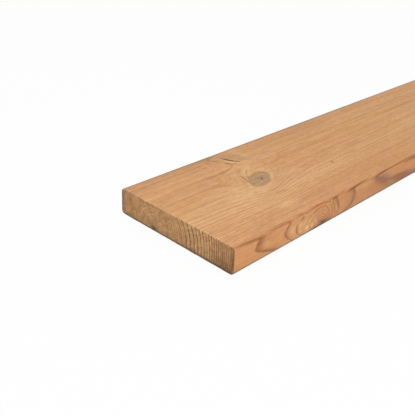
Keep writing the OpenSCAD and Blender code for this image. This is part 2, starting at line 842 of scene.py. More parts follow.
    def end_depth(self, points: Points) -> Array:
        """How far the sawn ends lie inside the plain shape: saw marks, and a slightly worn edge.

        Args:
            points: the points to look at.

        Returns:
            The depth at each point.
        """
        along, across, height = points
        marks = np.where(along < self.length / 2.0, self.saw_marks(points, slope=0.75, shift=1.7),
                         self.saw_marks(points, slope=-0.3, shift=6.1))
        to_rim = np.minimum(np.minimum(height, self.thickness - height), self.width / 2.0 - np.abs(across))
        return marks + 0.5 * self.end_wear * np.exp(-np.maximum(to_rim, 0.0) / 0.6)

    def build(self) -> bpy.types.Object:
        """Makes the board's mesh, with its relief and the wood's values at every vertex.

        Relief moves each point of the plain shape inwards: along the section's normal on the planed
        faces, and along the plank on the ends.

        Returns:
            The object, linked to the scene.
        """
        skin = self.skin()
        along, across, height = skin.points
        values = self.surface_values(skin)
        inward = np.where(skin.on_side, self.side_depth(skin, values), 0.0)
        sawn_off = self.end_depth(skin.points)
        inset = np.where(skin.at_near, sawn_off, 0.0) - np.where(skin.at_far, sawn_off, 0.0)
        points = np.stack([
            along + inset + self.origin,
            across - skin.normal_across * inward,
            height - skin.normal_up * inward,
        ], axis=1) * MM
        mesh = bpy.data.meshes.new(NODE + "_board")
        mesh.from_pydata(points, [], skin.quads.tolist())
        for name, value in values.items():
            layer = mesh.attributes.new(name, "FLOAT", "POINT")
            layer.data.foreach_set("value", value.astype(np.float32))
        mesh.shade_smooth()
        mesh.set_sharp_from_angle(angle=SHARP_ANGLE)
        board = bpy.data.objects.new(NODE + "_board", mesh)
        bpy.context.scene.collection.objects.link(board)
        LOG.info("%s: %d vertices, %d triangles", board.name, len(points), 2 * len(skin.quads))
        return board


class Value:
    """A number socket that takes Python operators, each of which adds one Math node."""

    def __init__(self, kit: "NodeKit", socket: bpy.types.NodeSocket) -> None:
        self.kit = kit
        self.socket = socket

    def __add__(self, other: "Number") -> "Value":
        """Sum."""
        return self.kit.math("ADD", self, other)

    __radd__ = __add__

    def __sub__(self, other: "Number") -> "Value":
        """Difference."""
        return self.kit.math("SUBTRACT", self, other)

    def __rsub__(self, other: "Number") -> "Value":
        """Difference from a plain number."""
        return self.kit.math("SUBTRACT", other, self)

    def __mul__(self, other: "Number") -> "Value":
        """Product."""
        return self.kit.math("MULTIPLY", self, other)

    __rmul__ = __mul__

    def __abs__(self) -> "Value":
        """Size without its sign."""
        return self.kit.math("ABSOLUTE", self)

    def fraction(self) -> "Value":
        """The part after the point."""
        return self.kit.math("FRACT", self)

    def floor(self) -> "Value":
        """The whole number below."""
        return self.kit.math("FLOOR", self)

    def ease(self, low: float, high: float) -> "Value":
        """Smooth step.

        Args:
            low: where the step leaves 0.
            high: where it reaches 1.

        Returns:
            The stepped value.
        """
        settings = {"interpolation_type": "SMOOTHSTEP"}
        node = self.kit.add("ShaderNodeMapRange", settings, {"Value": self, 1: low, 2: high})
        return Value(self.kit, node.outputs["Result"])


Number = Union[Value, float]
Paint = Union[bpy.types.NodeSocket, Colour, Value]


class NodeKit:
    """Adds nodes to one tree, and links or sets their sockets."""

    def __init__(self, tree: bpy.types.NodeTree) -> None:
        """Empties the tree and keeps it."""
        self.tree = tree
        tree.nodes.clear()

    def add(self, kind: str, settings: Optional[dict] = None, sockets: Optional[dict] = None
            ) -> bpy.types.Node:
        """Adds one node.

        Args:
            kind: the node's type.
            settings: its settings, which are set first.
            sockets: values or links for its input sockets, by name or number.

        Returns:
            The node.
        """
        node = self.tree.nodes.new(kind)
        for name, value in (settings or {}).items():
            setattr(node, name, value)
        for name, value in (sockets or {}).items():
            socket = node.inputs[name]
            if isinstance(value, Value):
                value = value.socket
            if isinstance(value, bpy.types.NodeSocket):
                self.tree.links.new(value, socket)
            elif socket.type == "RGBA":
                socket.default_value = (*value, 1.0)
            else:
                socket.default_value = value
        return node

    def math(self, operation: str, *terms: Number) -> Value:
        """Adds a Math node and returns its result."""
        node = self.add("ShaderNodeMath", {"operation": operation}, dict(enumerate(terms)))
        return Value(self, node.outputs[0])

    def mix(self, share: Number, first: Paint, second: Paint, blend: str = "MIX") -> bpy.types.NodeSocket:
        """Mixes two colours.

        Args:
            share: share of the second colour.
            first: the colour at share 0.
            second: the colour at share 1.
            blend: how they are mixed.

        Returns:
            The colour socket.
        """
        settings = {"data_type": "RGBA", "blend_type": blend, "clamp_factor": True}
        node = self.add("ShaderNodeMix", settings, {0: share, 6: first, 7: second})
        return node.outputs[2]

    def attribute(self, name: str) -> Value:
        """A number kept at the mesh's vertices."""
        node = self.add("ShaderNodeAttribute", {"attribute_name": name})
        return Value(self, node.outputs["Fac"])

    def noise(self, place: bpy.types.NodeSocket, scale: Place, detail: float) -> Value:
        """Cloudy noise, stretched by a scale for each axis.

        Args:
            place: coordinates in metres.
            scale: patches in a metre along each axis.
            detail: how many finer layers it has.

        Returns:
            Values round 0.5.
        """
        mapped = self.add("ShaderNodeMapping", None, {"Vector": place, "Scale": scale})
        node = self.add("ShaderNodeTexNoise", None, {
            "Vector": mapped.outputs[0], "Scale": 1.0, "Detail": detail, "Roughness": 0.55})
        return Value(self, node.outputs["Fac"])

    def line_noise(self, run: Value) -> Value:
        """Noise along one number.

        Args:
            run: the number, with one patch in each unit.

        Returns:
            Values round 0.5.
        """
        node = self.add("ShaderNodeTexNoise", {"noise_dimensions": "1D"}, {
            "W": run, "Scale": 1.0, "Detail": 2.0, "Roughness": 0.6})
        return Value(self, node.outputs["Fac"])


class Grain:
    """Noise, ring lines and vertex values that the planed faces and the sawn ends share.

    Each ring runs from pale earlywood to a narrow dark line of latewood and stops sharply at the next
    ring. Noise that is long along the plank stands for fibres and streaks.
    """

    def __init__(self, kit: NodeKit) -> None:
        """Adds the nodes.

        Args:
            kit: adds nodes to the finish's tree.
        """
        self.kit = kit
        self.place = kit.add("ShaderNodeTexCoord").outputs["Object"]
        facing = kit.add("ShaderNodeNewGeometry").outputs["True Normal"]
        normal_along = kit.add("ShaderNodeSeparateXYZ", None, {0: facing}).outputs["X"]
        self.sawn = abs(Value(kit, normal_along)).ease(0.6, 0.85)
        self.fibre = kit.noise(self.place, (16.0, 800.0, 800.0), 3.0)
        self.fine = kit.noise(self.place, (70.0, 3200.0, 3200.0), 2.0)
        self.patch = kit.noise(self.place, (13.0, 30.0, 30.0), 2.0)
        self.blotch = kit.noise(self.place, (10.0, 190.0, 190.0), 3.0)
        self.comb = kit.noise(self.place, (8.0, 520.0, 70.0), 3.0)
        self.flat = kit.attribute("cut")
        self.mature = kit.attribute("mature")
        wander = ((self.fibre - 0.5) * 0.12 + (self.patch - 0.5) * 0.05
                  + (self.blotch - 0.5) * (self.sawn * 0.4 + self.flat * 0.18))
        self.growth = kit.attribute("growth") + wander
        self.phase = self.growth.fraction()
        chance = kit.add("ShaderNodeTexWhiteNoise", {"noise_dimensions": "1D"}, {"W": self.growth.floor()})
        self.ring_chance = Value(kit, chance.outputs["Value"])
        self.stop = 1.0 - self.phase.ease(0.965, 1.0)
        self.latewood = self.ring_lines()

    def ring_lines(self) -> Value:
        """Share of latewood: narrow in outer wood, broader on flat-cut faces and soft near the pith.

        Returns:
            The share.
        """
        phase = self.phase
        line = phase.ease(0.74, 0.955) * self.stop
        broad_line = phase.ease(0.55, 0.93) * self.stop
        soft_line = phase.ease(0.35, 0.80) * (1.0 - phase.ease(0.90, 1.0)) * 0.6
        line = line + (broad_line - line) * self.flat * 0.25
        line = line + (soft_line - line) * (1.0 - self.mature.ease(0.40, 0.75))
        strength = self.kit.attribute("lines") * (self.ring_chance * 0.65 + 0.50) * (1.0 - self.sawn * 0.75)
        shade = phase.ease(0.15, 0.9) * 0.16 * strength
        return line * strength * ((self.blotch - 0.5) * 0.9 + 1.0) + shade


@dataclass(frozen=True)
class PlanedSoftwood:
    """Finish of the planed board: bare wood with its rings, knots and sawn ends."""

    pale: Colour = linear(229, 178, 127)
    tan: Colour = linear(205, 150, 96)
    rose: Colour = linear(214, 155, 119)
    honey: Colour = linear(219, 167, 99)
    orange: Colour = linear(208, 140, 86)
    latewood: Colour = linear(150, 90, 48)
    cream: Colour = linear(238, 196, 140)
    green: Colour = linear(176, 150, 108)
    knot_brown: Colour = linear(168, 118, 74)
    knot_grey: Colour = linear(177, 142, 103)
    rim: Colour = linear(118, 92, 62)
    bark: Colour = linear(62, 46, 30)
    # Near black: painted shade in the checks' grooves.
    check: Colour = linear(48, 34, 18)
    stain: Colour = linear(146, 116, 100)
    # Colour of the dirt and the painted shade.
    dirt_and_painted_shade: Colour = linear(82, 69, 55)
    end_tint: Colour = linear(217, 218, 218)
    end_line: Colour = linear(100, 56, 22)
    end_olive: Colour = linear(150, 117, 62)
    end_fuzz: Colour = linear(205, 164, 118)
    saw_slant: float = math.radians(36.0)
    roughness: float = 0.62
    specular: float = 0.30
    grain_relief: float = 0.0005

    def clear_wood(self, grain: Grain) -> bpy.types.NodeSocket:
        """Wood away from knots: streaks and patches between two tones, then the ring lines.

        Args:
            grain: the shared values.

        Returns:
            The colour.
        """
        kit, fibre, patch = grain.kit, grain.fibre, grain.patch
        streak = kit.noise(grain.place, (2.4, 95.0, 95.0), 2.0)
        blush = kit.noise(grain.place, (22.0, 55.0, 55.0), 1.0)
        strand = kit.noise(grain.place, (6.0, 300.0, 300.0), 2.0)
        hair = kit.line_noise(grain.growth * 8.0 + (fibre - 0.5) * 1.2)
        strands = (strand - 0.5) * (grain.mature * 0.6 + 0.65)
        tone = (streak - 0.5) * 0.8 + (patch - 0.5) * 0.5 + strands + (hair - 0.5) * 0.9
        tone = tone + 0.5 + kit.attribute("tone")
        ground = kit.mix(tone.ease(0.05, 0.95), self.pale, self.tan)
        ground = kit.mix(blush.ease(0.45, 0.72) * 0.30, ground, self.rose)
        ground = kit.mix((1.0 - blush.ease(0.28, 0.50)) * 0.14, ground, self.honey)
        ground = kit.mix(grain.flat * 0.6, ground, self.orange)
        wood = kit.mix(grain.latewood, ground, self.latewood)
        return kit.mix(kit.attribute("halo") * 0.16, wood, self.cream)

    def knot_wood(self, grain: Grain) -> bpy.types.NodeSocket:
        """Wood inside knots, with their own rings.

        Args:
            grain: the shared values.

        Returns:
            The colour.
        """
        kit, patch, blotch = grain.kit, grain.patch, grain.blotch
        ground = kit.mix(kit.attribute("grey"), self.knot_brown, self.knot_grey)
        phase = (kit.attribute("knot_age") + (blotch - 0.5) * 0.5).fraction()
        line = phase.ease(0.2, 0.8) * (1.0 - phase.ease(0.85, 1.0))
        mottle = 1.04 - line * 0.14 + (patch - 0.5) * 0.3 + (blotch - 0.5) * 0.3
        return kit.mix(1.0, ground, mottle, "MULTIPLY")

    def marked_wood(self, grain: Grain) -> bpy.types.NodeSocket:
        """The planed faces: clear wood and knots, with streaks, stains and the painted shade of checks over
        them.

        Args:
            grain: the shared values.

        Returns:
            The colour.
        """
        kit = grain.kit
        wood = kit.mix(kit.attribute("knot"), self.clear_wood(grain), self.knot_wood(grain))
        streaked = {Mark.ORANGE: self.orange, Mark.PALE: self.cream, Mark.GREEN: self.green,
                    Mark.BROWN: self.latewood}
        for mark, colour in streaked.items():
            wood = kit.mix(kit.attribute(mark.value), wood, colour)
        wood = kit.mix(kit.attribute("rim") * grain.blotch.ease(0.3, 0.7) * 0.4, wood, self.rim)
        wood = kit.mix(kit.attribute(Mark.DARK.value), wood, self.bark)
        wood = kit.mix(kit.attribute(Mark.STAIN.value), wood, self.stain)
        # Checks darken with their depth: painted shade in the grooves.
        return kit.mix(kit.attribute("check").ease(0.02, 0.6), wood, self.check)

    def sawn_wood(self, grain: Grain, wood: bpy.types.NodeSocket) -> bpy.types.NodeSocket:
        """The ends: the same wood browned, with broader lines, torn fibres and the saw's scratches.

        Args:
            grain: the shared values.
            wood: the wood as it is on the planed faces.

        Returns:
            The colour.
        """
        kit, comb, mature = grain.kit, grain.comb, grain.mature
        slanted = kit.add("ShaderNodeVectorRotate", {"rotation_type": "X_AXIS"}, {
            "Vector": grain.place, "Angle": self.saw_slant}).outputs[0]
        torn = kit.noise(slanted, (10.0, 90.0, 330.0), 4.0)
        scratch = kit.noise(slanted, (8.0, 45.0, 420.0), 3.0)
        wood = kit.mix(1.0, wood, self.end_tint, "MULTIPLY")
        wood = kit.mix(torn.ease(0.42, 0.68) * 0.5, wood, self.end_olive)
        half_rings = (grain.growth * 2.0).fraction()
        young_line = half_rings.ease(0.55, 0.95) * (1.0 - mature.ease(0.15, 0.4)) * 0.24
        line = grain.phase.ease(0.64, 0.93) * grain.stop * mature.ease(0.06, 0.45)
        line = line * (grain.ring_chance * 0.5 + 0.75) + young_line
        wood = kit.mix(line * ((comb - 0.5) * 2.0 + 0.95), wood, self.end_line)
        rough_cut = 1.0 + (grain.blotch - 0.5) * 1.0 + (comb - 0.5) * (mature * 0.7 + 0.25)
        wood = kit.mix(1.0, wood, rough_cut, "MULTIPLY")
        return kit.mix(scratch.ease(0.55, 0.80) * 0.45, wood, self.end_fuzz)

    def fine_lines(self, grain: Grain) -> Value:
        """Fine light and dark lines of single fibres, which multiply the colour.

        Args:
            grain: the shared values.

        Returns:
            A factor round 1.
        """
        fleck = grain.kit.noise(grain.place, (160.0, 420.0, 420.0), 2.0)
        thread = grain.kit.noise(grain.place, (6.0, 420.0, 420.0), 2.0)
        lines = ((fleck - 0.5) * 0.45 + (thread - 0.5) * 0.40) * (1.0 - grain.flat * 0.5)
        return 1.0 + (grain.fibre - 0.5) * 0.20 + (grain.fine - 0.5) * 0.24 + lines

    def material(self) -> bpy.types.Material:
        """Builds the finish: the planed and the sawn wood, dirt and painted shade, fine lines and a little
        relief.

        Returns:
            The material.
        """
        made = bpy.data.materials.new("planed_softwood")
        made.use_nodes = True
        kit = NodeKit(made.node_tree)
        grain = Grain(kit)
        planed = self.marked_wood(grain)
        wood = kit.mix(grain.sawn, planed, self.sawn_wood(grain, planed))
        # Dirt and painted shade, broken up by streaky noise.
        wood = kit.mix(kit.attribute("dirt_and_painted_shade") * (grain.comb.ease(0.2, 0.7) * 0.5 + 0.55), wood, self.dirt_and_painted_shade)
        wood = kit.mix(1.0, wood, self.fine_lines(grain), "MULTIPLY")

        relief = grain.latewood * 0.6 + grain.fibre * 0.35 + grain.fine * 0.35
        bump = kit.add("ShaderNodeBump", None, {
            "Strength": 0.55, "Distance": self.grain_relief, "Height": relief})
        rough = self.roughness + (grain.fibre - 0.5) * 0.2 + grain.sawn * 0.2 - grain.latewood * 0.08
        shader = kit.add("ShaderNodeBsdfPrincipled", None, {
            "Base Color": wood, "Roughness": rough, "Specular IOR Level": self.specular,
            "Normal": bump.outputs[0]})
        kit.add("ShaderNodeOutputMaterial", None, {"Surface": shader.outputs[0]})
        return made


@dataclass
class Studio:
    """Camera, lamp, floor and world, with the camera placed as the photograph was taken.

    Attributes:
        near_end: the near end's place along the plank's frame, in metres.
        camera_place: the camera's place from the middle of the near end's foot, in mm.
        heading: direction of the view in degrees, 0 along the plank and 90 towards the back.
        pitch: how far the view is tipped down, in degrees.
        roll: how far the picture is turned round the view, in degrees.
        focal_pixels: focal length, in pixels of the photograph.
        sensor: width of the sensor, in mm.
        clip_start: nearest distance that is drawn, in metres.
        lamp_place: the lamp's place from the same point, in metres.
        lamp_aim: distance along the plank of the point that it faces, in metres.
        lamp_size: its side, in metres.
        lamp_power: its power, in watts.
        floor_half: half the floor's side, in metres.
        floor_white: the floor's colour in the light that it throws back.
        shadow_share: share of the floor's own shading that is seen.
        sky: strength of the even light from all round.
    """

    near_end: float
    camera_place: Place = (-340.56, -356.44, 301.61)
    heading: float = 42.929
    pitch: float = 28.250
    roll: float = 2.955
    focal_pixels: float = 642.2
    sensor: float = 36.0
    clip_start: float = 0.01
    lamp_place: Place = (-1.1, -1.3, 1.9)
    lamp_aim: float = 0.35
    lamp_size: float = 1.6
    lamp_power: float = 34.0
    floor_half: float = 12.0
    floor_white: Colour = (0.90, 0.90, 0.90)
    shadow_share: float = 0.06
    sky: float = 0.62

    def camera(self) -> None:
        """Places the scene's camera.

        The view runs along the heading, tipped down by the pitch. The picture's right and upper sides
        are then turned round it by the roll.
        """
        heading, pitch, roll = (math.radians(a) for a in (self.heading, self.pitch, self.roll))
        ahead = Vector((math.cos(pitch) * math.cos(heading), math.cos(pitch) * math.sin(heading),
                        -math.sin(pitch)))
        level = Vector((math.sin(heading), -math.cos(heading), 0.0))
        over = level.cross(ahead)
        right = level * math.cos(roll) + over * math.sin(roll)
        upper = over * math.cos(roll) - level * math.sin(roll)
        lens = bpy.data.cameras.new("camera")
        lens.sensor_width = self.sensor
        lens.sensor_fit = "HORIZONTAL"
        lens.lens = self.focal_pixels * self.sensor / PHOTO_PIXELS
        lens.clip_start = self.clip_start
        seen = bpy.data.objects.new("camera", lens)
        axes = Matrix((right, upper, -ahead)).transposed().to_4x4()
        place = Vector(self.camera_place) * MM + Vector((self.near_end, 0.0, 0.0))
        seen.matrix_world = Matrix.Translation(place) @ axes
        bpy.context.scene.collection.objects.link(seen)
        bpy.context.scene.camera = seen

    def lamp(self) -> None:
        """Hangs a square soft box in front of the near end, facing the photographed stretch."""
        light = bpy.data.lights.new("key", "AREA")
        light.size = self.lamp_size
        light.energy = self.lamp_power
        hung = bpy.data.objects.new("key", light)
        along, across, height = self.lamp_place
        place = Vector((self.near_end + along, across, height))
        away = Vector((self.near_end + self.lamp_aim, 0.0, 0.0)) - place
        turn = away.to_track_quat("-Z", "Y").to_matrix().to_4x4()
        hung.matrix_world = Matrix.Translation(place) @ turn
        bpy.context.scene.collection.objects.link(hung)

    def floor(self) -> None:
        """Lays the white floor, which keeps a faint shadow."""
        half = self.floor_half
        mesh = bpy.data.meshes.new("floor")
        mesh.from_pydata([(-half, -half, 0.0), (half, -half, 0.0), (half, half, 0.0), (-half, half, 0.0)],
                         [], [(0, 1, 2, 3)])
        laid = bpy.data.objects.new("floor", mesh)
        bpy.context.scene.collection.objects.link(laid)
        paint = bpy.data.materials.new("floor_white")
        paint.use_nodes = True
        kit = NodeKit(paint.node_tree)
        matt = kit.add("ShaderNodeBsdfDiffuse", None, {"Color": self.floor_white})
        white = kit.add("ShaderNodeEmission", None, {"Color": (1.0, 1.0, 1.0), "Strength": 1.0})
        share = self.seen_directly(kit) * (1.0 - self.shadow_share)
        shown = kit.add("ShaderNodeMixShader", None, {
            "Fac": share, 1: matt.outputs[0], 2: white.outputs[0]})
        kit.add("ShaderNodeOutputMaterial", None, {"Surface": shown.outputs[0]})
        laid.data.materials.append(paint)

    @staticmethod
    def seen_directly(kit: NodeKit) -> Value:
        """Tells rays that show the floor or the world from the soft light that they throw.

        Args:
            kit: adds nodes to the tree that asks.

        Returns:
            1 for rays from the camera, from gloss and through glass, and 0 for soft light.
        """
        path = kit.add("ShaderNodeLightPath")
        rays = [Value(kit, path.outputs[name]) for name in
                ("Is Camera Ray", "Is Glossy Ray", "Is Transmission Ray")]
        either = kit.math("MAXIMUM", rays[0], rays[1])
        return kit.math("MAXIMUM", either, rays[2])

    def world(self) -> None:
        """Fills the room with even light, and shows white behind the floor."""
        room = bpy.data.worlds.new("room")
        room.use_nodes = True
        kit = NodeKit(room.node_tree)
        strength = self.sky + self.seen_directly(kit) * (1.0 - self.sky)
        light = kit.add("ShaderNodeBackground", None, {"Color": (1.0, 1.0, 1.0), "Strength": strength})
        kit.add("ShaderNodeOutputWorld", None, {"Surface": light.outputs[0]})
        bpy.context.scene.world = room

    def build(self) -> None:
        """Sets up the camera, the floor, the world and the lamp."""
        bpy.context.scene.view_settings.view_transform = "Standard"
        self.camera()
        self.floor()
        self.world()
        self.lamp()


def photographed_whorl() -> list[Branch]:
    """The branches that show as knots near the end, and the two that come out on hidden faces.

    Returns:
        The large grey knot, the faded knot behind it, the knot on the front edge and the hidden two.
    """
    seen = WHORLS[0]
    return [
        Branch(146.2, turn=119.2, lean=1.09, reach=26.7, radius=10.4, tone=KnotTone.GREY, taper=0.1,
               aside=-12.9),
        Branch(158.0, turn=42.8, lean=0.68, reach=34.6, radius=8.2, tone=KnotTone.FADED),
        Branch(seen, turn=181.0, lean=0.27, reach=99.0, radius=4.6, tone=KnotTone.DARK),
        Branch(seen, turn=-12.0, lean=0.50, reach=46.0, radius=5.5),
        Branch(150.0, turn=-95.0, lean=0.90, reach=4.0, radius=2.2),
    ]


def later_whorl(whorl: float, first_turn: float, radii: tuple[float, ...], reach: float) -> list[Branch]:
    """Branches spread evenly round the pith, further along the plank.

    Args:
        whorl: distance from the near end at which they leave the pith.
        first_turn: direction of the first, in degrees.
        radii: radius of each.
        reach: distance from the pith at which the radii are measured.

    Returns:
        The branches.
    """
    step = 360.0 / len(radii)
    tones = (KnotTone.SOUND, KnotTone.GREY, KnotTone.SOUND, KnotTone.DARK)
    return [
        Branch(whorl + 3.0 * (n % 2), turn=first_turn + step * n, lean=0.55 + 0.12 * (n % 3), reach=reach,
               radius=radius, tone=tones[n % len(tones)])
        for n, radius in enumerate(radii)
    ]


def streaks(face: Face, mark: Mark, *rows: Row) -> list[Stroke]:
    """Strokes of one kind on one face.

    Args:
        face: the face that they lie on.
        mark: what they show.
        rows: both tips, the half width and the share of each.

    Returns:
        The strokes.
    """
    return [Stroke(face, mark, *row) for row in rows]


def top_strokes() -> list[Stroke]:
    """The streaks on the upper face, with tips as (along, across).

    Returns:
        The strokes.
    """
    return [
        *streaks(
            Face.TOP, Mark.PALE,
            # Long bands, single lines and spots.
            # The second stroke, a pale line along the near end's upper edge, is partly torn fuzz and partly
            # a painted highlight.
            ((-6, -8), (66, -8), 3, 0.36), ((0.3, 70), (0.3, -70), 1, 0.30),
            ((4, 20), (78, 20), 2.2, 0.38), ((84, -51), (108, -54), 6, 0.50),
            ((190, 26), (212, 27), 3, 0.30), ((224, -8), (256, -8), 2.4, 0.32),
            ((258, -20), (404, -20), 2.4, 0.38), ((284, -8), (308, -8), 2.4, 0.30),
            ((310, 24), (370, 24), 2.4, 0.30), ((314, -16), (394, -15), 4, 0.26),
            # Round the large knot.
            ((56, -8), (88, -17), 9, 0.42), ((69, -23.5), (85, -25), 2.6, 0.36),
            ((69, -3), (89, 0), 4, 0.42), ((76, -6), (104, -19), 7, 0.32),
            ((90, -20.4), (101, -22.6), 1.4, 0.40), ((95.5, -4), (94.5, -11.5), 2.6, 0.36),
            ((97, 17), (110, 24), 4, 0.36), ((100, -7), (100.4, -10), 2, 0.30),
            ((100.2, 1), (97.4, -5), 1.2, 0.60), ((107, 7.2), (109, 8.8), 1.6, 0.30),
            ((109.8, 3.4), (113, 6.4), 1.2, 0.16), ((111, 16), (129, 26.8), 4, 0.66),
            ((112.6, -5.6), (113.8, -5), 1.5, 0.30), ((121.3, 7.9), (127.4, 4.4), 1.1, 0.08),
            ((131, 17), (139.4, 13.4), 3, 0.32), ((136.5, 2), (124.5, -9), 1.8, 0.45),
            ((138, -10), (168, -11), 3.5, 0.36),
            # Round the faded knot.
            ((96.5, 53), (99.6, 56.4), 1.8, 0.45), ((102, 36.5), (114, 41), 2.2, 0.30),
            ((117.1, 55.5), (129.5, 37.9), 1.4, 0.60), ((140, 66), (152, 66), 4, 0.35),
            ((145, 61), (149.8, 46), 1.9, 0.45),
        ),
        *streaks(
            Face.TOP, Mark.BROWN,
            # Long bands, single lines and spots.
            ((-60, -60), (420, -60), 11, 0.06), ((-60, 60), (300, 60), 12, 0.22),
            ((-14, 56.5), (30, 56.5), 2.4, 0.30), ((-12, 48), (26, 48.5), 2.2, 0.34),
            ((34, -65), (66, -62), 5, 0.17), ((122, -64), (146, -63), 5, 0.18),
            ((146, 6), (170, 10), 7, 0.14), ((158, -58), (190, -58), 6, 0.08),
            ((171, 18.6), (187, 13), 1.6, 0.40), ((172, 22.5), (264, 18), 3.5, 0.14),
            ((174, 4), (194, 4), 2, 0.22), ((182, -68), (202, -68), 4, 0.17),
            ((207.4, -24.2), (209.8, -22.6), 1.7, 0.75), ((262, -44), (382, -41), 5, 0.16),
            ((288, 4), (448, 9.6), 1.3, 0.25), ((310, -18.6), (386, -14.6), 0.9, 0.32),
            ((318, -15.4), (384, -11.8), 0.9, 0.22), ((396, 22), (478, 25), 1.5, 0.25),
            # Round the large knot.
            ((88, -27.5), (104, -29.5), 2.2, 0.22), ((88, -14.6), (97, -20), 0.9, 0.30),
            ((99.3, 9.2), (97.8, 2.3), 0.9, 0.70), ((101, -24.2), (113, -25), 0.9, 0.30),
            ((103, -30), (118, -33), 2.4, 0.30), ((103, 5), (99.8, 2.4), 0.9, 0.50),
            ((106.4, 16), (102.8, 3.4), 0.9, 0.80), ((112.4, 12.4), (107.6, 6.9), 0.9, 0.65),
            ((113.5, 8.6), (125.4, 12.3), 1.3, 0.35), ((114.2, 3), (117.6, 1.2), 1.8, 0.50),
            ((115, 0.6), (117, -0.4), 1.8, 0.50), ((116.8, -2.6), (120.6, 1.2), 1.5, 0.60),
            ((117.9, 29.2), (105.8, 21.5), 2, 0.20), ((124.7, 24.7), (111.5, 13.2), 0.9, 0.50),
            ((125.4, 12.3), (131.8, 5.5), 1.3, 0.28), ((133, -36), (147, -36), 2.4, 0.17),
            ((140.2, 14.1), (141, 9.7), 2, 0.25),
            # Round the faded knot.
            ((92, 31.6), (74, 33.2), 1.2, 0.45), ((104.3, 64), (99.4, 54.8), 1.3, 0.50),
            ((109.3, 61.9), (114.5, 53.7), 1.4, 0.75), ((111, 35), (92, 31.6), 1.3, 0.60),
            ((112.5, 69), (105.5, 59), 1.2, 0.55), ((116.4, 49.2), (121.2, 40.8), 1.1, 0.90),
            ((120.2, 61), (123, 57.4), 0.9, 0.25), ((120.4, 39.4), (111, 35), 1, 0.55),
            ((121.8, 41.2), (126.6, 35.4), 0.9, 0.50), ((130.4, 43.2), (133.2, 40.2), 0.8, 0.50),
            ((153.2, 55.8), (155.3, 52.1), 1.7, 0.25),
        ),
        *streaks(
            Face.TOP, Mark.GREEN,
            # Long bands, single lines and spots.
            ((-14, 56.5), (30, 56.5), 2.4, 0.28), ((236, 67.5), (420, 67.5), 2.4, 0.60),
            # Round the large knot.
            ((95.8, 1.2), (96.8, -3), 2.4, 0.35), ((105.4, -3.2), (105.8, -9), 2.6, 0.30),
            ((113.9, 3.4), (118.3, 1.2), 2.2, 0.45), ((133, 4), (143, 4), 2.2, 0.42),
            # Round the faded knot.
            ((93, 67), (125, 66.5), 3, 0.80), ((115, 59), (119, 49), 3, 0.35),
            ((119.4, 64), (124.6, 56.3), 2, 0.45), ((119.5, 62.5), (123.2, 57), 1.3, 0.55),
            ((121, 41), (127, 38.5), 1.8, 0.50), ((128, 61), (144, 40), 5, 0.18),
            ((136.5, 65.7), (140.4, 63.8), 2.5, 0.35), ((137, 46), (147.5, 35.6), 3, 0.60),
            ((147, 44), (153, 41), 3, 0.25),
        ),
        *streaks(
            Face.TOP, Mark.STAIN,
            # Grey spots in the knots.
            ((104, 62.5), (113, 65.5), 3, 0.30), ((109.4, 5.8), (113.2, 8.4), 1.6, 0.32),
            ((111.3, 4.2), (113.6, 1), 2, 0.28), ((123.4, -0.4), (127, -3.4), 3, 0.30),
        ),
        *streaks(
            Face.TOP, Mark.DARK,
            # Small dark spots in the knots.
            ((104.6, 3), (102.4, -6.5), 1.2, 0.16), ((117.2, -2.2), (120.2, 0.8), 1.2, 0.55),
            ((126, 50.2), (128, 47.4), 0.7, 0.50),
        ),
        *streaks(
            Face.TOP, Mark.ORANGE,
            # Warm wood along the front arris.
            ((-60, -60), (420, -60), 11, 0.30), ((84, -51), (108, -54), 6, 0.50),
        ),
    ]


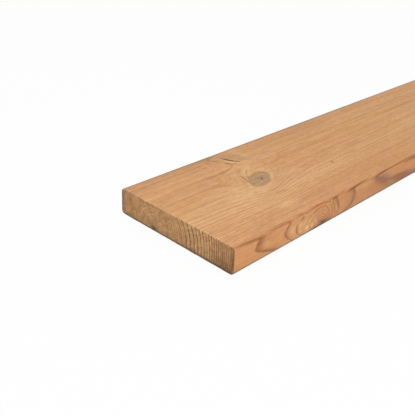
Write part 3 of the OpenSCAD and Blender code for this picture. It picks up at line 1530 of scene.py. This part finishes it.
def front_strokes() -> list[Stroke]:
    """The streaks on the front edge, with tips as (along, height).

    Returns:
        The strokes.
    """
    return [
        *streaks(
            Face.FRONT, Mark.PALE,
            # Before the knot, and long bands.
            ((40, 17), (44, 11), 4, 0.25), ((76.5, 20.5), (80, 8), 3, 0.34),
            ((88, 20), (91, 12), 3.2, 0.46), ((89, 10.5), (91.5, 6), 2.2, 0.58),
            ((94, 14), (106, 15), 4.5, 0.26), ((94, 25), (98, 21.5), 1.7, 0.45),
            ((99, 11.5), (102, 5.5), 2.3, 1.00), ((106.5, 20), (109.5, 18), 1.6, 0.32),
            ((107, 9.8), (111, 6), 2.1, 0.68),
            # At and above the knot.
            ((112.8, 11), (115.4, 9.4), 1.6, 0.75), ((136.5, 23.5), (139, 20.5), 1.6, 0.35),
            ((147.2, 17), (149.2, 9), 1.4, 0.50),
            # The long flames past the knot.
            ((186, 21), (217, 22.6), 2.6, 0.30), ((243, 11), (262, 5.5), 3, 0.30),
        ),
        *streaks(
            Face.FRONT, Mark.BROWN,
            # Along the upper arris.
            ((-80, 25.8), (500, 25.8), 1.9, 0.26), ((6, 26.1), (36, 23.6), 1, 0.90),
            ((42, 26), (78, 24.4), 0.9, 0.75), ((84, 25.9), (94, 24.5), 0.9, 0.70),
            ((99.5, 25.7), (127, 25.8), 0.9, 0.85), ((125, 25.2), (133, 25), 0.9, 0.90),
            ((138, 25), (147, 25.3), 1.1, 1.00), ((146, 25.4), (164, 26), 0.9, 0.60),
            ((165, 24.8), (181, 25.5), 1.1, 1.00), ((178, 25.5), (204, 26.2), 0.9, 0.85),
            ((217.5, 24.8), (236, 25.5), 1.1, 1.00), ((234, 25.6), (300, 26.1), 0.9, 0.75),
            ((274, 24.6), (340, 24.2), 2.6, 0.90), ((290, 26.1), (420, 26), 0.9, 0.60),
            # Before the knot, and long bands.
            ((37, 8), (44, 6.6), 1.2, 0.50), ((44, 6.2), (56, 3), 1.2, 0.55),
            ((71, 18.5), (67.6, 10), 1.8, 0.40), ((116, 3), (340, 3), 2.2, 0.28),
            ((146, 13), (340, 13), 14, 0.20),
            # At and above the knot.
            ((116, 9), (142, 6), 3.2, 0.35), ((124, 10.6), (128, 9.6), 1.4, 0.36),
            ((132.5, 17), (135.5, 8), 1.8, 0.30), ((137.5, 24), (144.7, 16.2), 0.9, 0.75),
            ((141, 23.6), (146.5, 21), 1.2, 0.46), ((144.5, 16.2), (145.4, 8.5), 1, 0.90),
            ((146.5, 21), (154.5, 8.5), 1.5, 0.80), ((149.4, 9.5), (151.6, 5), 1.8, 0.44),
            # The long flames past the knot.
            ((163, 23.4), (171, 22.8), 1.2, 0.42), ((180.4, 8.5), (180.8, 14), 2, 0.45),
            ((226, 23.2), (252, 14.6), 1.7, 0.50), ((248, 13), (296, 7.6), 3, 1.00),
            ((268, 6.6), (340, 3.2), 3, 1.00), ((277, 24.3), (302, 23.2), 1, 0.55),
        ),
        *streaks(
            Face.FRONT, Mark.GREEN,
            # Greenish wood on the arcs and along the lower arris.
            ((-20, 3.2), (420, 3.2), 2.4, 0.38), ((120, 17.5), (131, 14), 3, 0.18),
            ((147.5, 17), (149.5, 9), 1.8, 0.35),
        ),
        *streaks(
            Face.FRONT, Mark.STAIN,
            # At and above the knot.
            ((129, 5.6), (143, 3.2), 2, 0.35),
            # The long flames past the knot.
            ((178.5, 9.5), (180, 17), 3, 0.70), ((219, 22.6), (250, 12.6), 2.6, 0.36),
            ((226, 23.4), (251, 14.8), 1.9, 0.72), ((280, 7), (320, 4.4), 2.6, 0.75),
        ),
        *streaks(
            Face.FRONT, Mark.DARK,
            # Along the upper arris.
            ((138, 25), (147, 25.3), 0.8, 0.30), ((166, 24.8), (190, 25.9), 0.9, 0.38),
            ((219, 25), (242, 25.8), 0.9, 0.38),
            # At and above the knot.
            ((106, 2.6), (130, 3.4), 1.6, 0.80), ((121, 6.5), (138, 3.6), 1.9, 0.60),
        ),
        *streaks(
            Face.FRONT, Mark.ORANGE,
            # Warm wood beside the knot and below the flame.
            ((99, 10), (111.5, 6.6), 3, 0.90), ((204, 17), (232, 12), 3.5, 0.50),
        ),
    ]


def end_strokes() -> list[Stroke]:
    """The streaks on the near end, with tips as (across, height).

    Returns:
        The strokes.
    """
    return [
        *streaks(
            Face.END, Mark.PALE,
            # Bright wood below the upper arris.
            ((-7, 23.5), (-14, 22.5), 2, 0.28), ((4, 25), (-48, 25), 4, 0.18),
        ),
        *streaks(
            Face.END, Mark.BROWN,
            # The brown front side, darker along the front corner (partly dirt, partly painted shade),
            # darker bands and single lines.
            ((-71.2, 4), (-71, 20), 2.8, 0.80), ((-69, 3), (-56, 6), 7, 0.55),
            ((-69, 12), (-57, 16), 7, 0.22), ((-53, 8), (-47, 8), 3, 0.40), ((12, 20), (6, 8), 1, 0.45),
            ((27, 6), (26.5, 10), 6.5, 0.16), ((38, 25.2), (27, 24.6), 0.9, 0.45),
            ((59, 25), (58, 4), 5.5, 0.26),
        ),
        *streaks(
            Face.END, Mark.STAIN,
            # The grey back side.
            ((70.8, 5), (70.6, 23), 2.2, 0.55),
        ),
        *streaks(
            Face.END, Mark.DARK,
            # The pith, and dark dashes along the foot: partly dirt, partly painted contact shadow.
            ((-71, 0.8), (-66, 1), 1.4, 0.50), ((-59, 1.4), (-49, 1.4), 1.6, 0.26),
            ((22.4, 2.2), (30, 3.6), 2.3, 0.95), ((49, 1.4), (39, 1.4), 1.6, 0.30),
        ),
    ]


def grown_wood(front: float, top: float) -> GrowthField:
    """The wood of this plank: its four whorls, the two checks at the faded knot and all streaks.

    Args:
        front: place across of the front edge, in mm.
        top: height of the upper face, in mm.

    Returns:
        The growth field.
    """
    branches = photographed_whorl()
    branches += later_whorl(WHORLS[1], first_turn=48.0, radii=(6.5, 7.5, 4.5, 6.0), reach=38.0)
    branches += later_whorl(WHORLS[2], first_turn=58.0, radii=(8.0, 5.5, 6.5, 5.0), reach=45.0)
    branches += later_whorl(WHORLS[3], first_turn=5.0, radii=(5.5, 7.0, 4.0, 6.5, 5.0), reach=45.0)
    cracks = [Crack((122.4, 60.0), (133.0, 39.0), half_width=0.90, depth=3.0, bow=-1.2),
              Crack((116.2, 49.6), (120.8, 40.4), half_width=0.55, depth=0.8, bow=0.4)]
    strokes = top_strokes() + front_strokes() + end_strokes()
    return GrowthField(front=front, top=top, branches=branches, cracks=cracks, strokes=strokes)


def arris_radius(back: float, top: float) -> float:
    """Radius of the solid's upper arrises: how far its flat stops short of the back edge.

    Args:
        back: place across of the back edge, in metres.
        top: height of the upper face, in metres.

    Returns:
        The radius, in mm.
    """
    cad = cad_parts[NODE].data
    points = np.zeros(3 * len(cad.vertices), np.float32)
    cad.vertices.foreach_get("co", points)
    points = points.reshape(-1, 3)
    top_points = points[points[:, 2] > top - LEVEL_TOLERANCE * MM]
    return float(back - top_points[:, 1].max()) / MM


def main() -> None:
    """Builds the studio and the plank."""
    low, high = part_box(NODE)
    length, width, thickness = (high - low) / MM
    Studio(near_end=low.x).build()
    plank = Plank(length=length, width=width, thickness=thickness, arris=arris_radius(high.y, high.z),
                  wood=grown_wood(low.y / MM, thickness), origin=low.x / MM)
    board = plank.build()
    board.data.materials.append(PlanedSoftwood().material())
    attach(board, BODY)
    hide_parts(NODE)
    LOG.info("%s rides on %s and stands for %s", board.name, BODY, NODE)


if __name__ == "__main__":
    logging.basicConfig(level=logging.INFO, format="%(name)s: %(message)s")
    main()
